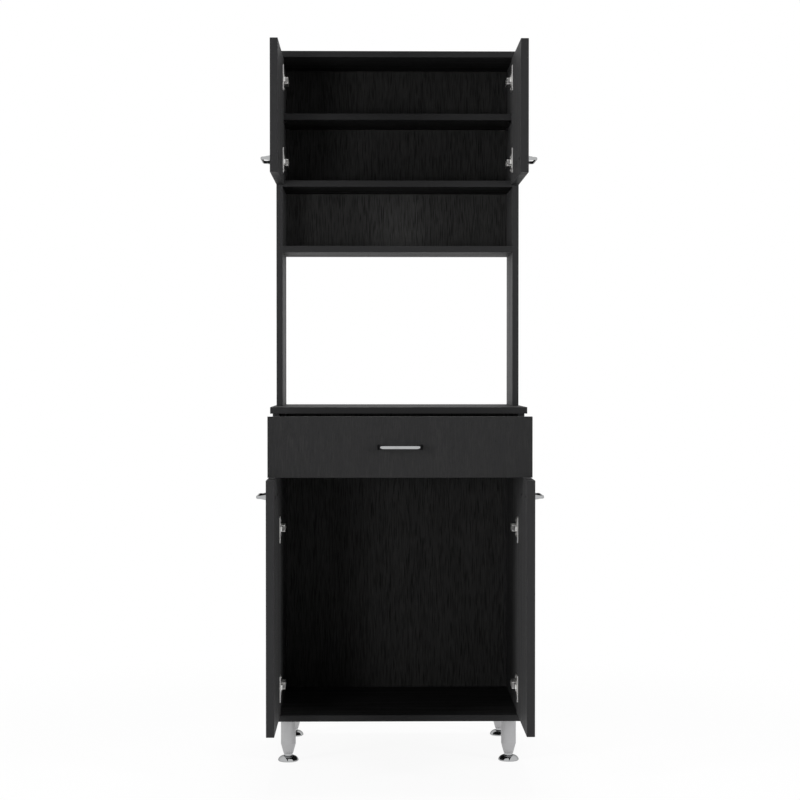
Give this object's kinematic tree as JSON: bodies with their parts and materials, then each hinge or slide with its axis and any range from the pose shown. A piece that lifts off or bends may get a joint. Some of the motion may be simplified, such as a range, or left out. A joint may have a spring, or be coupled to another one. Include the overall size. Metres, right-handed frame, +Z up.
{
  "type": "kitchen cabinet",
  "caption": "Tall black kitchen cabinet: base cupboard with doors and a drawer on metal legs, and a shallower upper cupboard over an open bay and cubby.",
  "frame": {"origin": "on the floor, under the middle of the box round the cabinet as it stands with its doors open and its drawer out", "axes": "+Z up, +X to the right as seen from the front, the front faces -Y"},
  "size_m": [0.6382, 0.6788, 1.696],
  "materials": {
    "black_board": "matt black laminate, fine grain",
    "black_panel": "black faced hardboard",
    "chrome": "polished",
    "leg_metal": "satin",
    "nickel_steel": "nickel plated",
    "runner_paint": "epoxy coated",
    "nylon": "natural nylon",
    "beech": "raw beech"
  },
  "bodies": {
    "carcass": {"countertop": "black_board", "base_left_side": "black_board", "base_right_side": "black_board", "base_bottom": "black_board", "base_back": "black_panel", "hutch_left_side": "black_board", "hutch_right_side": "black_board", "hutch_top": "black_board", "inner_shelf": "black_board", "middle_shelf": "black_board", "lower_shelf": "black_board", "hutch_back": "black_panel", "dowels": "beech", "shelf_pins": "nickel_steel", "leg_studs": "nickel_steel", "upper_hinge_arms": "nickel_steel", "lower_hinge_arms": "nickel_steel", "upper_hinge_plates": "nickel_steel", "lower_hinge_plates": "nickel_steel", "left_cabinet_runner": "runner_paint", "right_cabinet_runner": "runner_paint", "cabinet_roller_axles": "runner_paint", "front_left_leg": "leg_metal", "front_right_leg": "leg_metal", "rear_left_leg": "leg_metal", "rear_right_leg": "leg_metal"},
    "drawer": {"drawer_front": "black_board", "drawer_left_side": "black_board", "drawer_right_side": "black_board", "drawer_back": "black_board", "drawer_bottom": "black_panel", "drawer_handle": "chrome", "left_drawer_runner": "runner_paint", "right_drawer_runner": "runner_paint", "drawer_roller_axles": "runner_paint"},
    "lower_left_door_leaf": {"lower_left_door": "black_board", "lower_left_handle": "chrome", "lower_left_hinge_cups": "nickel_steel", "lower_left_hinge_pins": "nickel_steel"},
    "lower_right_door_leaf": {"lower_right_door": "black_board", "lower_right_handle": "chrome", "lower_right_hinge_cups": "nickel_steel", "lower_right_hinge_pins": "nickel_steel"},
    "upper_left_door_leaf": {"upper_left_door": "black_board", "upper_left_handle": "chrome", "upper_left_hinge_cups": "nickel_steel", "upper_left_hinge_pins": "nickel_steel"},
    "upper_right_door_leaf": {"upper_right_door": "black_board", "upper_right_handle": "chrome", "upper_right_hinge_cups": "nickel_steel", "upper_right_hinge_pins": "nickel_steel"},
    "left_cabinet_roller_wheel": {"left_cabinet_roller": "nylon"},
    "right_cabinet_roller_wheel": {"right_cabinet_roller": "nylon"},
    "left_drawer_roller_wheel": {"left_drawer_roller": "nylon"},
    "right_drawer_roller_wheel": {"right_drawer_roller": "nylon"},
    "front_left_foot_screw": {"front_left_foot": "chrome"},
    "front_right_foot_screw": {"front_right_foot": "chrome"},
    "rear_left_foot_screw": {"rear_left_foot": "chrome"},
    "rear_right_foot_screw": {"rear_right_foot": "chrome"}
  },
  "joints": [
    {"name": "lower_left_door_hinge", "type": "hinge", "parent": "carcass", "child": "lower_left_door_leaf", "pos_m": [-0.2868, -0.0536, 0.181], "axis": [0, 0, 1], "range_deg": [-5, 90]},
    {"name": "lower_right_door_hinge", "type": "hinge", "parent": "carcass", "child": "lower_right_door_leaf", "pos_m": [0.2868, -0.0536, 0.181], "axis": [0, 0, -1], "range_deg": [-5, 90]},
    {"name": "upper_left_door_hinge", "type": "hinge", "parent": "carcass", "child": "upper_left_door_leaf", "pos_m": [-0.2868, 0.1264, 1.43], "axis": [0, 0, 1], "range_deg": [-5, 90]},
    {"name": "upper_right_door_hinge", "type": "hinge", "parent": "carcass", "child": "upper_right_door_leaf", "pos_m": [0.2868, 0.1264, 1.43], "axis": [0, 0, -1], "range_deg": [-5, 90]},
    {"name": "drawer_slide", "type": "slide", "parent": "carcass", "child": "drawer", "axis": [0, 1, 0], "range_m": [-0.055, 0.205]},
    {"name": "left_cabinet_roller_spin", "type": "hinge", "parent": "carcass", "child": "left_cabinet_roller_wheel", "pos_m": [-0.2755, -0.0266, 0.7153], "axis": [1, 0, 0], "range_deg": [-1500, 420]},
    {"name": "right_cabinet_roller_spin", "type": "hinge", "parent": "carcass", "child": "right_cabinet_roller_wheel", "pos_m": [0.2755, -0.0266, 0.7153], "axis": [1, 0, 0], "range_deg": [-1500, 420]},
    {"name": "left_drawer_roller_spin", "type": "hinge", "parent": "drawer", "child": "left_drawer_roller_wheel", "pos_m": [-0.272, 0.0894, 0.7153], "axis": [1, 0, 0], "range_deg": [-1500, 420]},
    {"name": "right_drawer_roller_spin", "type": "hinge", "parent": "drawer", "child": "right_drawer_roller_wheel", "pos_m": [0.272, 0.0894, 0.7153], "axis": [1, 0, 0], "range_deg": [-1500, 420]},
    {"name": "front_left_foot_turn", "type": "hinge", "parent": "carcass", "child": "front_left_foot_screw", "pos_m": [-0.2606, -0.0062, 0.017], "axis": [0, 0, 1], "continuous": true},
    {"name": "front_right_foot_turn", "type": "hinge", "parent": "carcass", "child": "front_right_foot_screw", "pos_m": [0.2606, -0.0062, 0.017], "axis": [0, 0, 1], "continuous": true},
    {"name": "rear_left_foot_turn", "type": "hinge", "parent": "carcass", "child": "rear_left_foot_screw", "pos_m": [-0.2606, 0.305, 0.017], "axis": [0, 0, 1], "continuous": true},
    {"name": "rear_right_foot_turn", "type": "hinge", "parent": "carcass", "child": "rear_right_foot_screw", "pos_m": [0.2606, 0.305, 0.017], "axis": [0, 0, 1], "continuous": true}
  ],
  "couplings": [
    {"joint": "left_cabinet_roller_spin", "follows": "drawer_slide", "rad_per_m": -125},
    {"joint": "right_cabinet_roller_spin", "follows": "drawer_slide", "rad_per_m": -125},
    {"joint": "left_drawer_roller_spin", "follows": "drawer_slide", "rad_per_m": -125},
    {"joint": "right_drawer_roller_spin", "follows": "drawer_slide", "rad_per_m": -125}
  ]
}
